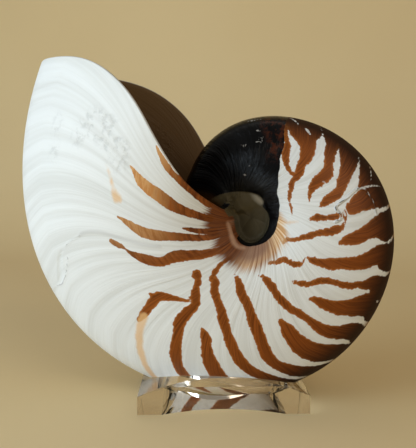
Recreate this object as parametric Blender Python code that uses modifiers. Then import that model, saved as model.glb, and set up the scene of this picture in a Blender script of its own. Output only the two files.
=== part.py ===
"""A whole nautilus shell standing in the seat of a clear acrylic block.

Metres, Z up. The origin is on the table under the middle of the whole object. The shell's plane of
symmetry is Y = 0 and its coiling axis lies along Y. The shell grows clockwise as seen from -Y.
"""
import math

import bmesh
import bpy
import numpy as np
from mathutils import Matrix, Vector

MM = 0.001

# Driving dimensions of the coil, in millimetres and degrees
LIP_RADIUS = 104.0
WHORL_GROWTH = 3.396
BREADTH = 0.379
LIP_ANGLE = 144.7
COIL_X = 21.9
COIL_Z = 71.0
OUTLINE_WAVES = ((-0.0117, 0.0063), (-0.0008, -0.0023), (0.0054, -0.0029), (0.0037, -0.0048))

# Half of the whorl's cross section from the keel line to the umbilicus: distance from the coiling axis,
# and half width as a share of the greatest half width, both for a whorl of radius 1
PROFILE_RADIUS = (1.0, 0.985, 0.93, 0.83, 0.70, 0.55, 0.42, 0.30, 0.20, 0.12, 0.07)
PROFILE_WIDTH = (0.0, 0.221, 0.455, 0.662, 0.844, 0.961, 1.0, 0.961, 0.857, 0.701, 0.571)

# Growth lines: how far each place across the whorl lags behind the lip angle, in degrees
GROWTH_PLACES = (0.0, 0.1, 0.22, 0.36, 0.5, 0.64, 0.8, 1.0)
GROWTH_LAG = (-2.1, -0.1, 3.1, 9.6, 13.1, 8.3, -3.5, -15.2)

# Walls and inner spaces
LIP_WALL = 1.2
CHAMBER_WALL = 2.2
WALL_TAPER = 60.0
DORSAL_COAT = 0.4
CHAMBER_LENGTH = 132.0
CHAMBER_REACH = 9.0
SEPTUM_DEPTH = 12.0
SEPTUM_BENDS = (30.0, 52.0, 70.0)
CHAMBER_CLEAR_RADIUS = 11.6
DORSAL_CLEAR_RADIUS = 10.6
CHAMBER_END_SHARE = 0.135
DORSAL_END_SHARE = 0.30
AXIS_CAP_SHARE = 0.9

# Callus that closes the umbilicus, and the pit around it
CALLUS_RADIUS = 8.6
CALLUS_OFFSET = -1.0
CALLUS_HALF_LENGTH = 12.6
CALLUS_ROUND = 1.6
PIT_RADIUS = 8.2
PIT_OFFSET = (1.5, -2.0)
PIT_FLOOR = 11.2
PIT_DEPTH = 30.0

# Stand: a block with an arched top and underside, bevelled along its front and back
STAND_TURN = 13.4
STAND_PLACE = (-13.3, 0.3)
STAND_HALF_WIDTH = 31.3
STAND_HALF_DEPTH = 21.6
CROWN_HEIGHT = 13.5
END_HEIGHT = 6.6
CROWN_CURVE = 2.5
ARCH_HALF_WIDTH = 22.5
ARCH_RISE = 2.0
BEVEL_HEIGHT = 10.2
BEVEL_TURN = 45.0
SEAT_GAP = 0.3
SEAT_AGES = (-186.0, -60.0)
SEAT_PLACE = 0.62
KEEL_SLOT = (15.0, 10.5)

# Facets
COIL_STEPS = 66
CHAMBER_STEPS = 26
ACROSS_STEPS = 28
CROWN_STEPS = 28
ARCH_STEPS = 16
ROUND_STEPS = 40
SEAT_AGE_STEPS = 40
SEAT_PLACE_STEPS = 27
PLACE_SAMPLES = 400
END_CROWDING = 0.8
DIFFERENCE_STEP = 1e-3
SHELL_EDGE_ANGLE = 35.0
STAND_EDGE_ANGLE = 25.0

SHELL_COLOUR = (0.72, 0.66, 0.58, 1.0)
ACRYLIC_COLOUR = (0.93, 0.95, 0.92, 1.0)


def smooth_curve(knots, values, at):
    """Natural cubic spline through the knots, read at the places in at."""
    knots = np.asarray(knots, float)
    values = np.asarray(values, float)
    step = np.diff(knots)
    count = len(knots)
    matrix = np.eye(count)
    right = np.zeros(count)
    for i in range(1, count - 1):
        matrix[i, i - 1:i + 2] = step[i - 1], 2 * (step[i - 1] + step[i]), step[i]
        right[i] = 6 * ((values[i + 1] - values[i]) / step[i] - (values[i] - values[i - 1]) / step[i - 1])
    bend = np.linalg.solve(matrix, right)
    cell = np.clip(np.searchsorted(knots, at) - 1, 0, count - 2)
    width = step[cell]
    a = (knots[cell + 1] - at) / width
    b = 1 - a
    curved = ((a ** 3 - a) * bend[cell] + (b ** 3 - b) * bend[cell + 1]) * width ** 2 / 6
    return a * values[cell] + b * values[cell + 1] + curved


def mirrored(knots, values, sign):
    """Knots and values carried over to the other side of the keel line."""
    knots = np.asarray(knots, float)
    values = np.asarray(values, float)
    return np.r_[-knots[:0:-1], knots], np.r_[sign * values[:0:-1], values]


SECTION_PLACES = np.linspace(0, 1, len(PROFILE_RADIUS))
RADIUS_KNOTS = mirrored(SECTION_PLACES, PROFILE_RADIUS, 1)
WIDTH_KNOTS = mirrored(SECTION_PLACES, PROFILE_WIDTH, -1)
LAG_KNOTS = mirrored(GROWTH_PLACES, GROWTH_LAG, 1)


def coil_surface(age, across):
    """Point of the outer surface, in metres from the coiling axis.

    Age is the turn back from the lip in radians, negative, and across runs from -1 to 1 over the keel.
    The radius grows by WHORL_GROWTH a turn, times a slow wave; the point lies on the section's
    profile scaled by that radius, at the lip angle less its age and its growth line's lag.
    """
    log_radius = math.log(WHORL_GROWTH) * age / (2 * math.pi)
    for order, (sine, cosine) in enumerate(OUTLINE_WAVES, 1):
        log_radius = log_radius + sine * np.sin(order * age) + cosine * (np.cos(order * age) - 1)
    radius = LIP_RADIUS * MM * np.exp(log_radius)
    lag = smooth_curve(*LAG_KNOTS, across)
    angle = np.radians(LIP_ANGLE - lag) - age
    out = radius * smooth_curve(*RADIUS_KNOTS, across)
    side = radius * BREADTH * smooth_curve(*WIDTH_KNOTS, across)
    return np.stack([out * np.cos(angle), side, out * np.sin(angle)], -1)


def coil_normal(age, across):
    """Outward unit normal of the outer surface, by small differences."""
    small = DIFFERENCE_STEP
    along_age = coil_surface(age + small, across) - coil_surface(age - small, across)
    inner = np.clip(across, -1 + small, 1 - small)
    along_section = coil_surface(age, inner + small) - coil_surface(age, inner - small)
    normal = np.cross(along_age, along_section)
    return normal / np.linalg.norm(normal, axis=-1, keepdims=True)


def offset_surface(age, across, distance):
    """Point at a distance outside the outer surface, or inside it for a negative one."""
    return coil_surface(age, across) + coil_normal(age, across) * np.asarray(distance)[..., None]


def new_object(name, mesh, collection):
    made = bpy.data.objects.new(name, mesh)
    collection.objects.link(made)
    return made


def mesh_from(name, points, faces):
    mesh = bpy.data.meshes.new(name)
    mesh.from_pydata([tuple(point) for point in points], [], faces)
    mesh.validate()
    work = bmesh.new()
    work.from_mesh(mesh)
    bmesh.ops.triangulate(work, faces=work.faces)
    bmesh.ops.recalc_face_normals(work, faces=work.faces)
    work.to_mesh(mesh)
    work.free()
    return mesh


def grid_faces(rows, columns, first=0, closed=False):
    """Quads between rows of points; closed joins each row's last point to its first."""
    faces = []
    for row in range(rows - 1):
        for column in range(columns if closed else columns - 1):
            after = (column + 1) % columns
            low = first + row * columns
            faces.append((low + column, low + after, low + columns + after, low + columns + column))
    return faces


def spread(low, high, count):
    """Places from low to high, closer together near both ends."""
    middle, half = (low + high) / 2, (high - low) / 2
    quarter_turn = END_CROWDING * math.pi / 2
    return middle + half * np.sin(np.linspace(-quarter_turn, quarter_turn, count)) / math.sin(quarter_turn)


def coil_mesh():
    """The last whole turn of the shell, solid to the axis, with a step where the lip ends."""
    ages = np.linspace(-2 * math.pi, 0, COIL_STEPS + 1)
    places = spread(-1, 1, ACROSS_STEPS + 1)
    columns = len(places)
    grid = coil_surface(*np.meshgrid(ages, places, indexing="ij")).reshape(-1, 3)
    top = CALLUS_HALF_LENGTH * MM * AXIS_CAP_SHARE
    points = np.vstack([grid, [(0, -top, 0), (0, top, 0)]])
    near, far = len(grid), len(grid) + 1
    faces = grid_faces(len(ages), columns)
    last_row = COIL_STEPS * columns
    for row in range(COIL_STEPS):
        low = row * columns
        faces.append((low, low + columns, near))
        faces.append((low + columns - 1, far, low + 2 * columns - 1))
    for column in range(columns - 1):
        faces.append((column, last_row + column, last_row + column + 1, column + 1))
    faces.append((0, near, last_row))
    faces.append((columns - 1, last_row + columns - 1, far))
    return mesh_from("coil", points, faces)


def place_at_radius(share):
    """Place across the section, 0 to 1, where the profile's radius is this share."""
    places = np.linspace(0, 1, PLACE_SAMPLES)
    shares = smooth_curve(*RADIUS_KNOTS, places)
    return float(np.interp(-share, -shares, places))


def chamber_ring(age):
    """Closed ring of points round the living chamber at one growth line."""
    radius = float(np.linalg.norm(coil_surface(np.array(age), np.array(0.0)))) / MM
    previous = radius / WHORL_GROWTH
    outer_end = place_at_radius(max(CHAMBER_END_SHARE, CHAMBER_CLEAR_RADIUS / radius))
    inner_end = place_at_radius(max(DORSAL_END_SHARE, DORSAL_CLEAR_RADIUS / previous))
    outer = spread(-outer_end, outer_end, ACROSS_STEPS)
    inner = spread(inner_end, -inner_end, ACROSS_STEPS)
    taper = min(1.0, max(0.0, -math.degrees(age) / WALL_TAPER))
    wall = (LIP_WALL + (CHAMBER_WALL - LIP_WALL) * taper) * MM
    roof = offset_surface(np.full(len(outer), age), outer, np.full(len(outer), -wall))
    floor_age = np.full(len(inner), age - 2 * math.pi)
    floor = offset_surface(floor_age, inner, np.full(len(inner), DORSAL_COAT * MM))
    return np.vstack([roof, floor])


def chamber_mesh():
    """The living chamber: from beyond the lip back to the hollow face of the last septum."""
    rings = []
    for age in np.linspace(CHAMBER_REACH, -CHAMBER_LENGTH, CHAMBER_STEPS):
        rings.append(chamber_ring(math.radians(age)))
    for bend in np.radians(SEPTUM_BENDS):
        ring = chamber_ring(math.radians(-CHAMBER_LENGTH - SEPTUM_DEPTH * math.sin(bend)))
        centre = ring.mean(0)
        rings.append(centre + (ring - centre) * math.cos(bend))
    columns = 2 * ACROSS_STEPS
    faces = grid_faces(len(rings), columns, closed=True)
    for low in (0, (len(rings) - 1) * columns):
        for column in range(ACROSS_STEPS - 1):
            opposite = columns - 1 - column
            faces.append((low + column, low + column + 1, low + opposite - 1, low + opposite))
    return mesh_from("chamber", np.vstack(rings), faces)


def seat_mesh():
    """The space that the shell's keel needs in the stand: a wedge from the axis to the keel."""
    ages = np.radians(np.linspace(*SEAT_AGES, SEAT_AGE_STEPS))
    places = np.linspace(-SEAT_PLACE, SEAT_PLACE, SEAT_PLACE_STEPS)
    rows, columns = len(ages), len(places)
    turns, across = np.meshgrid(ages, places, indexing="ij")
    grid = offset_surface(turns, across, np.full(turns.shape, SEAT_GAP * MM)).reshape(-1, 3)
    apex = len(grid)
    faces = grid_faces(rows, columns)
    for row in range(rows - 1):
        low = row * columns
        faces.append((low, low + columns, apex))
        faces.append((low + columns - 1, apex, low + 2 * columns - 1))
    for column in range(columns - 1):
        faces.append((column, apex, column + 1))
        last = (rows - 1) * columns + column
        faces.append((last, last + 1, apex))
    return mesh_from("seat", np.vstack([grid, [(0, 0, 0)]]), faces)


def block_outline():
    """Front view of the block: level feet, a shallow arch under it, and a crowned top."""
    under = np.linspace(-ARCH_HALF_WIDTH, ARCH_HALF_WIDTH, ARCH_STEPS + 1)
    arch_radius = (ARCH_HALF_WIDTH ** 2 + ARCH_RISE ** 2) / (2 * ARCH_RISE)
    rise = ARCH_RISE - arch_radius + np.sqrt(arch_radius ** 2 - under ** 2)
    over = np.linspace(STAND_HALF_WIDTH, -STAND_HALF_WIDTH, CROWN_STEPS + 1)
    drop = (CROWN_HEIGHT - END_HEIGHT) * (np.abs(over) / STAND_HALF_WIDTH) ** CROWN_CURVE
    underside = [(-STAND_HALF_WIDTH, 0.0)] + list(zip(under, rise)) + [(STAND_HALF_WIDTH, 0.0)]
    return underside + list(zip(over, CROWN_HEIGHT - drop))


def block_mesh():
    """The front view carried from the front face to the back one."""
    outline = block_outline()
    depths = (-STAND_HALF_DEPTH, STAND_HALF_DEPTH)
    points = [(x * MM, y * MM, z * MM) for y in depths for x, z in outline]
    columns = len(outline)
    faces = grid_faces(2, columns, closed=True)
    faces.append(tuple(range(columns)))
    faces.append(tuple(range(columns, 2 * columns)))
    return mesh_from("block", points, faces)


def claim(made, name, collection):
    """Name a new primitive and keep it in this collection alone."""
    made.name = name
    for owner in list(made.users_collection):
        owner.objects.unlink(made)
    collection.objects.link(made)
    return made


def cylinder(name, radius, length, collection):
    """A primitive cylinder standing on its end, centred on its own origin, in metres."""
    bpy.ops.mesh.primitive_cylinder_add(vertices=ROUND_STEPS, radius=radius * MM, depth=length * MM)
    return claim(bpy.context.object, name, collection)


def cut(target, cutter, operation="DIFFERENCE"):
    modifier = target.modifiers.new(cutter.name, "BOOLEAN")
    modifier.operation = operation
    modifier.solver = "EXACT"
    modifier.object = cutter
    cutter.hide_render = True
    cutter.display_type = "WIRE"


def material(name, colour, roughness, transmission=0.0):
    made = bpy.data.materials.new(name)
    made.use_nodes = True
    shader = made.node_tree.nodes["Principled BSDF"]
    shader.inputs["Base Color"].default_value = colour
    shader.inputs["Roughness"].default_value = roughness
    shader.inputs["Metallic"].default_value = 0.0
    shader.inputs["Transmission Weight"].default_value = transmission
    return made


def shade(target, angle):
    target.data.shade_smooth()
    target.data.set_sharp_from_angle(angle=math.radians(angle))


def build_shell(parts, cutters):
    place = (COIL_X * MM, 0, COIL_Z * MM)
    shell = new_object("shell", coil_mesh(), parts)
    shell.location = place
    for side in (-1, 1):
        pit = cylinder("pit", PIT_RADIUS, PIT_DEPTH, cutters)
        depth = side * (PIT_FLOOR + PIT_DEPTH / 2) * MM
        pit.location = (place[0] + PIT_OFFSET[0] * MM, depth, place[2] + PIT_OFFSET[1] * MM)
        pit.rotation_euler.x = math.pi / 2
        cut(shell, pit)
    callus = cylinder("callus", CALLUS_RADIUS, 2 * CALLUS_HALF_LENGTH, cutters)
    callus.location = (place[0] + CALLUS_OFFSET * MM, 0, place[2])
    callus.rotation_euler.x = math.pi / 2
    bevel = callus.modifiers.new("rounded rim", "BEVEL")
    bevel.width = CALLUS_ROUND * MM
    bevel.segments = 2
    cut(shell, callus, "UNION")
    chamber = new_object("chamber", chamber_mesh(), cutters)
    chamber.location = place
    cut(shell, chamber)
    shade(shell, SHELL_EDGE_ANGLE)
    shell.data.materials.append(material("nautilus shell", SHELL_COLOUR, 0.35))


def build_stand(parts, cutters):
    place = ((COIL_X + STAND_PLACE[0]) * MM, STAND_PLACE[1] * MM, 0)
    turn = math.radians(STAND_TURN)
    stand = new_object("stand", block_mesh(), parts)
    stand.location = place
    stand.rotation_euler.z = turn
    half_side = 2 * CROWN_HEIGHT * MM
    for side in (-1, 1):
        bpy.ops.mesh.primitive_cube_add(size=2 * half_side)
        bevel = claim(bpy.context.object, "bevel", cutters)
        bevel.data.transform(Matrix.Scale(2, 4, (1, 0, 0)) @ Matrix.Translation((0, side * half_side, 0)))
        bevel.data.transform(Matrix.Rotation(side * math.radians(BEVEL_TURN), 4, "X"))
        edge = Vector((0, side * STAND_HALF_DEPTH * MM, BEVEL_HEIGHT * MM))
        bevel.location = Vector(place) + Matrix.Rotation(turn, 3, "Z") @ edge
        bevel.rotation_euler.z = turn
        cut(stand, bevel)
    seat = new_object("seat", seat_mesh(), cutters)
    seat.location = (COIL_X * MM, 0, COIL_Z * MM)
    cut(stand, seat)
    slot = cylinder("keel slot", 1.0, CROWN_HEIGHT, cutters)
    slot.data.transform(Matrix.Diagonal((KEEL_SLOT[0], KEEL_SLOT[1], 1, 1)))
    slot.location = place
    cut(stand, slot)
    shade(stand, STAND_EDGE_ANGLE)
    stand.data.materials.append(material("clear acrylic", ACRYLIC_COLOUR, 0.05, 1.0))


def main():
    for old in list(bpy.data.objects):
        bpy.data.objects.remove(old, do_unlink=True)
    parts = bpy.data.collections.new("nautilus shell on stand")
    cutters = bpy.data.collections.new("cutters")
    for collection in (parts, cutters):
        bpy.context.scene.collection.children.link(collection)
    build_shell(parts, cutters)
    build_stand(parts, cutters)


main()
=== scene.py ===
"""A whole nautilus shell in the cut seat of a clear acrylic block, on a pale warm sweep of backdrop."""
import math

import bmesh
import bpy
import numpy as np
from mathutils import Matrix, Vector


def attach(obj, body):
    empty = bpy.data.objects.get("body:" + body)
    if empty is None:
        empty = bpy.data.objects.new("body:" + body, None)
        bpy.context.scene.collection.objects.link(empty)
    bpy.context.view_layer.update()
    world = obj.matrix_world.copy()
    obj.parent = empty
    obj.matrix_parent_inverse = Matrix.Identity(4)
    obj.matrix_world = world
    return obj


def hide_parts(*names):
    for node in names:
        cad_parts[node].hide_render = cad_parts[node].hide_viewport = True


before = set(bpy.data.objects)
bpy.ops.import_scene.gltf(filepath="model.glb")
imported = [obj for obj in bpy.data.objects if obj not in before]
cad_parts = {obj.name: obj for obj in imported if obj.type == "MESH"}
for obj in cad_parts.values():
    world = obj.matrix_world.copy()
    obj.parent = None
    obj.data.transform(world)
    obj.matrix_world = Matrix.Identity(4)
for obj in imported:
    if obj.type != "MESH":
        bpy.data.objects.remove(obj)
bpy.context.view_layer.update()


# The room: a sweep of pale warm backdrop paper that turns up behind the object.
# It isn't part of the object, and it lies flat, a hair under the stand's feet.
def sweep_surface(across, along):
    """Backdrop in metres: flat at table height, then a quarter circle of radius bend, then straight up."""
    bend, start, under_feet = 0.3, 0.35, 0.0002
    arc = bend * math.pi / 2
    turn = np.clip((along - start) / bend, 0, math.pi / 2)
    y = np.minimum(along, start) + bend * np.sin(turn)
    z = bend * (1 - np.cos(turn)) + np.maximum(along - start - arc, 0)
    return np.stack([across, y, z - under_feet], -1)


def grid_quads(rows, columns, first=0):
    """Corner numbers of the quads between neighbouring rows and columns of a grid of points."""
    corner = (np.arange(rows - 1)[:, None] * columns + np.arange(columns - 1)).ravel() + first
    return np.stack([corner, corner + 1, corner + columns + 1, corner + columns], -1)


def make_piece(name, points, faces):
    """A mesh object from an array of points in metres and one of faces with as many corners each."""
    mesh = bpy.data.meshes.new(name)
    mesh.vertices.add(len(points))
    mesh.vertices.foreach_set("co", np.asarray(points, np.float32).ravel())
    mesh.loops.add(faces.size)
    mesh.loops.foreach_set("vertex_index", faces.ravel().astype(np.int32))
    mesh.polygons.add(len(faces))
    mesh.polygons.foreach_set("loop_start", np.arange(0, faces.size, faces.shape[1], dtype=np.int32))
    mesh.polygons.foreach_set("use_smooth", np.full(len(faces), True))
    mesh.update(calc_edges=True)
    mesh.validate()
    made = bpy.data.objects.new(name, mesh)
    bpy.context.scene.collection.objects.link(made)
    return made


def finish_named(name):
    """A new material, its node tree and its Principled shader."""
    made = bpy.data.materials.new(name)
    made.use_nodes = True
    return made, made.node_tree, made.node_tree.nodes["Principled BSDF"]


def add_node(tree, kind, inputs=None, **settings):
    """A node with its settings, and its inputs set to a value or joined to another node's output."""
    made = tree.nodes.new("ShaderNode" + kind)
    for key, value in settings.items():
        setattr(made, key, value)
    for key, value in (inputs or {}).items():
        value = getattr(value, "socket", value)
        if isinstance(value, bpy.types.NodeSocket):
            tree.links.new(value, made.inputs[key])
        else:
            made.inputs[key].default_value = value
    return made


def colour(code):
    """Linear colour of a #rrggbb code."""
    parts = [int(code[i:i + 2], 16) / 255 for i in (1, 3, 5)]
    return (*[p / 12.92 if p <= 0.04045 else ((p + 0.055) / 1.055) ** 2.4 for p in parts], 1.0)


def paper_finish():
    """Matt cloth-like paper with a faint cloudiness."""
    made, tree, shader = finish_named("backdrop paper")
    place = add_node(tree, "TexCoord").outputs["Object"]
    cloud = add_node(tree, "TexNoise", {"Vector": place, "Scale": 3.0, "Detail": 3.0})
    tint = add_node(tree, "ValToRGB", {"Fac": cloud.outputs["Fac"]})
    tint.color_ramp.elements[0].color = colour("#d3bb8d")
    tint.color_ramp.elements[1].color = colour("#dcc79b")
    tree.links.new(tint.outputs["Color"], shader.inputs["Base Color"])
    shader.inputs["Roughness"].default_value = 0.9
    return made


SWEEP_COLUMNS, SWEEP_ROWS = 3, 60
sweep_along = np.r_[-5.0, np.linspace(-0.9, 2.2, SWEEP_ROWS - 1)]
sweep_points = sweep_surface(*np.meshgrid(np.linspace(-5, 5, SWEEP_COLUMNS), sweep_along))
backdrop = make_piece("backdrop", sweep_points.reshape(-1, 3), grid_quads(SWEEP_ROWS, SWEEP_COLUMNS))
backdrop.data.materials.append(paper_finish())


# The camera stands a little to the right of the shell's front and just above its middle. Cool daylight
# comes from a window at the left in front, with a weaker warm lamp at the right, a low strip for what the
# table throws back, and a wash on the backdrop behind.
CAMERA_PLACE = Vector((0.0529, -0.2285, 0.0835))
CAMERA_AIM = Vector((0.0032, 0.0, 0.0674))
camera = bpy.data.objects.new("camera", bpy.data.cameras.new("camera"))
bpy.context.scene.collection.objects.link(camera)
bpy.context.scene.camera = camera
camera.data.lens, camera.data.sensor_width = 48.21, 36.0
camera.data.clip_start = 0.01
camera.location = CAMERA_PLACE
camera.rotation_euler = (CAMERA_AIM - CAMERA_PLACE).to_track_quat("-Z", "Y").to_euler()


def soft_light(name, place, aim, width, height, power, tint):
    """A rectangular lamp at a place, turned to a point."""
    lamp = bpy.data.lights.new(name, "AREA")
    lamp.shape = "RECTANGLE"
    lamp.size, lamp.size_y = width, height
    lamp.energy = power
    lamp.color = tint
    made = bpy.data.objects.new(name, lamp)
    bpy.context.scene.collection.objects.link(made)
    made.location = place
    made.rotation_euler = (Vector(aim) - Vector(place)).to_track_quat("-Z", "Y").to_euler()


soft_light("window", (-0.74, -0.55, 0.27), (0, 0, 0.07), 0.6, 0.6, 8.0, (0.73, 0.88, 1.0))
soft_light("fill", (0.55, -0.55, 0.50), (0, 0, 0.06), 0.5, 0.5, 1.9, (1.0, 0.90, 0.74))
soft_light("table bounce", (-0.36, -0.42, 0.03), (0, 0, 0.05), 0.5, 0.12, 0.55, (1.0, 0.95, 0.85))
soft_light("wall wash", (0.0, 0.1, 1.1), (0.0, 1.0, 0.45), 1.2, 0.4, 0.9, (1.0, 0.93, 0.85))
bpy.context.scene.world = bpy.data.worlds.new("room")
bpy.context.scene.world.use_nodes = True
room = bpy.context.scene.world.node_tree.nodes["Background"]
room.inputs["Color"].default_value = colour("#e9e4da")
room.inputs["Strength"].default_value = 0.35
bpy.context.scene.view_settings.view_transform = "Standard"


# The shell: a thin coiled wall of porcelain-like shell, grown as one log spiral whose whorl widens
# 3.4 times a turn. Its sides turn in to a pit at the coiling axis, which a pad of callus fills, and
# its living chamber reaches back from the lip to the hollow face of the last septum. Sizes are in mm and
# degrees; the profile and the growth line's lag run from the keel, 0, to the axis, 1.
MM = 0.001
AXIS = np.array((21.9, 0.0, 71.0))
LIP_RADIUS, WHORL_GROWTH, BREADTH, LIP_ANGLE = 104.0, 3.396, 0.379, 144.7
OUTLINE_WAVES = ((-0.0117, 0.0063), (-0.0008, -0.0023), (0.0054, -0.0029), (0.0037, -0.0048))
PROFILE_RADIUS = (1.0, 0.985, 0.93, 0.83, 0.70, 0.55, 0.42, 0.30, 0.20, 0.12, 0.07)
PROFILE_WIDTH = (0.0, 0.221, 0.455, 0.662, 0.844, 0.961, 1.0, 0.961, 0.857, 0.701, 0.571)
GROWTH_PLACES = (0.0, 0.1, 0.22, 0.36, 0.5, 0.64, 0.8, 1.0)
GROWTH_LAG = (-2.1, -0.1, 3.1, 9.6, 13.1, 8.3, -3.5, -15.2)
PIT_ANGLES = (-205.0, -180.0, -140.0, -115.0, -90.0, -45.0, 0.0, 45.0, 90.0, 141.0, 155.0, 180.0, 220.0)
PIT_EDGE = (8.7, 6.6, 7.4, 8.8, 10.0, 8.4, 7.2, 8.2, 10.0, 9.5, 8.9, 6.6, 7.4)
LIP_WALL, CHAMBER_WALL, WALL_TAPER, DORSAL_COAT = 1.2, 2.2, 60.0, 0.4
LIP_ROUND = 0.25
CHAMBER_LENGTH, SEPTUM_DEPTH = 132.0, 12.0
CHAMBER_RADIUS, DORSAL_RADIUS = 11.0, 10.6
CALLUS_TOP, CALLUS_DOME, PIT_WALL = 12.1, 0.9, 2.0

EDGE_BLEND, LOBE_EASE, LOBE_BOW, LIP_BULGE, LIP_TURNS = 6, 0.25, 0.6, 0.7, (35.0, 70.0, 110.0, 145.0)
END_THICKENS, LOBE_OPENS, COAT_THICKENS = 12.0, 8.0, 6.0
FILM_FADES, FILM_FADED = 16.0, 14.0

ROWS, HALF_COLUMNS, STEP_ROWS = 440, 70, 12
WALL_STEPS, DOME_STEPS, CHAMBER_ROWS, CAP_ROWS = 8, 6, 48, 6


def natural_curve(knots, values, at):
    """Natural cubic spline through the knots: the second slopes solve the usual three-term equations."""
    knots, values, at = (np.asarray(x, float) for x in (knots, values, at))
    step = np.diff(knots)
    count = len(knots)
    matrix, right = np.eye(count), np.zeros(count)
    for i in range(1, count - 1):
        matrix[i, i - 1:i + 2] = step[i - 1], 2 * (step[i - 1] + step[i]), step[i]
        right[i] = 6 * ((values[i + 1] - values[i]) / step[i] - (values[i] - values[i - 1]) / step[i - 1])
    bend = np.linalg.solve(matrix, right)
    cell = np.clip(np.searchsorted(knots, at) - 1, 0, count - 2)
    width = step[cell]
    a = (knots[cell + 1] - at) / width
    b = 1 - a
    return (a * values[cell] + b * values[cell + 1]
            + ((a ** 3 - a) * bend[cell] + (b ** 3 - b) * bend[cell + 1]) * width ** 2 / 6)


def both_sides(places, values, sign):
    """A half curve carried over to the other side of the keel."""
    places, values = np.asarray(places, float), np.asarray(values, float)
    return np.r_[-places[:0:-1], places], np.r_[sign * values[:0:-1], values]


SECTION = np.linspace(0, 1, len(PROFILE_RADIUS))
RADIUS_CURVE = both_sides(SECTION, PROFILE_RADIUS, 1)
WIDTH_CURVE = both_sides(SECTION, PROFILE_WIDTH, -1)
LAG_CURVE = both_sides(GROWTH_PLACES, GROWTH_LAG, 1)


def keel_radius(age):
    """Whorl radius in mm: it grows WHORL_GROWTH times a turn, times a slow wave."""
    turn = np.radians(age)
    power = math.log(WHORL_GROWTH) * turn / (2 * math.pi)
    for order, (sine, cosine) in enumerate(OUTLINE_WAVES, 1):
        power = power + sine * np.sin(order * turn) + cosine * (np.cos(order * turn) - 1)
    return LIP_RADIUS * np.exp(power)


def whorl(age, across):
    """Outer surface as (radius, y, angle in degrees) round the coiling axis, for an age in degrees back
    from the lip and a place from -1 to 1 over the keel: the section's profile, scaled by the whorl's
    radius, at the lip angle less the growth line's lag and the age."""
    radius = keel_radius(age)
    angle = LIP_ANGLE - natural_curve(*LAG_CURVE, across) - age
    return (radius * natural_curve(*RADIUS_CURVE, across),
            radius * BREADTH * natural_curve(*WIDTH_CURVE, across), angle)


def upright(radius, y, angle):
    """Points in mm from the coiling axis for cylindrical places round it."""
    turn = np.radians(angle)
    return np.stack([radius * np.cos(turn), y + 0 * radius, radius * np.sin(turn)], -1)


def whorl_normal(age, across):
    """Outward unit normal of the outer surface, by small differences."""
    small = 0.05
    inner = np.clip(across, -0.999, 0.999)
    along = upright(*whorl(age + small, across)) - upright(*whorl(age - small, across))
    over = upright(*whorl(age, inner + 0.001)) - upright(*whorl(age, inner - 0.001))
    normal = np.cross(along, over)
    return normal / np.linalg.norm(normal, axis=-1, keepdims=True)


def place_at(age, edge):
    """Place across, for each age, where the surface first comes as near the axis as edge(angle) says."""
    places = np.linspace(0.4, 1.0, 600)
    radius, _, angle = whorl(np.asarray(age, float)[:, None], places[None])
    inside = radius - edge(angle) < 0
    first = np.where(inside.any(1), inside.argmax(1), len(places) - 1)
    return places[first]


def pit_edge(angle):
    """Radius of the pit's edge at an angle round the axis."""
    return natural_curve(PIT_ANGLES, PIT_EDGE, (np.asarray(angle, float) + 180) % 360 - 180)


def smooth(values, reach):
    """Running mean over reach neighbours on each side, ends kept."""
    padded = np.pad(values, reach, mode="reflect", reflect_type="odd")
    return np.convolve(padded, np.ones(2 * reach + 1) / (2 * reach + 1), mode="valid")


# Rows at equal steps of growth, and the places of the columns on each row
growth = np.linspace(0, 1, ROWS)
shrink = math.log(WHORL_GROWTH)
row_age = 360 / shrink * np.log(1 / WHORL_GROWTH + growth * (1 - 1 / WHORL_GROWTH))
row_age[-1] = -LIP_ROUND
edge_place = smooth(place_at(row_age, pit_edge), EDGE_BLEND)
column = np.linspace(-1, 1, 2 * HALF_COLUMNS + 1)
outer_age = np.repeat(row_age[:, None], len(column), 1)
outer_across = edge_place[:, None] * column
outer_points = upright(*whorl(outer_age, outer_across))


def pit_profile(edge_radius, edge_y, slope_radius, slope_y):
    """Radius and depth from the pit's edge to its middle: a Hermite curve that leaves the edge along the
    surface's own slope and lands level on the callus, then a low parabolic dome."""
    t = np.linspace(0, 1, WALL_STEPS + 1)
    landing = edge_radius - PIT_WALL
    length = 1.5 * PIT_WALL
    start, end = 2 * t ** 3 - 3 * t ** 2 + 1, 3 * t ** 2 - 2 * t ** 3
    leave, arrive = t ** 3 - 2 * t ** 2 + t, t ** 3 - t ** 2
    wall_radius = (edge_radius[:, None] * start + landing[:, None] * end
                   + length * (slope_radius[:, None] * leave - arrive))
    wall_y = edge_y[:, None] * start + CALLUS_TOP * end + length * slope_y[:, None] * leave
    share = np.linspace(1, 0, DOME_STEPS + 1)[1:]
    dome_radius = landing[:, None] * share
    dome_y = CALLUS_TOP + CALLUS_DOME * (1 - share ** 2) + 0 * dome_radius
    return np.hstack([wall_radius, dome_radius]), np.hstack([wall_y, dome_y])


def blend(a, b, share):
    """Straight blend from a to b."""
    return a + (b - a) * share


def lobe(radius_a, y_a, angle_a, radius_b, y_b, angle_b):
    """Umbilical end of the chamber: from the roof's end to the floor's, bowed in to the axis."""
    share = np.linspace(0, 1, STEP_ROWS + 1)
    eased = share + LOBE_EASE * np.sin(2 * math.pi * share) / math.pi
    radius = blend(radius_a, radius_b, share) - LOBE_BOW * np.sin(math.pi * share)
    return radius, blend(y_a, y_b, eased), blend(angle_a, angle_b, share)


# Where the lip's inner end steps down on to the whorl before it, from the last row's edge to the first's
edge_radius, edge_y, edge_angle = whorl(row_age, edge_place)
step_radius, step_y, step_angle = lobe(edge_radius[-1], edge_y[-1], edge_angle[-1],
                                       edge_radius[0], edge_y[0], edge_angle[0] - 360.0)


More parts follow.
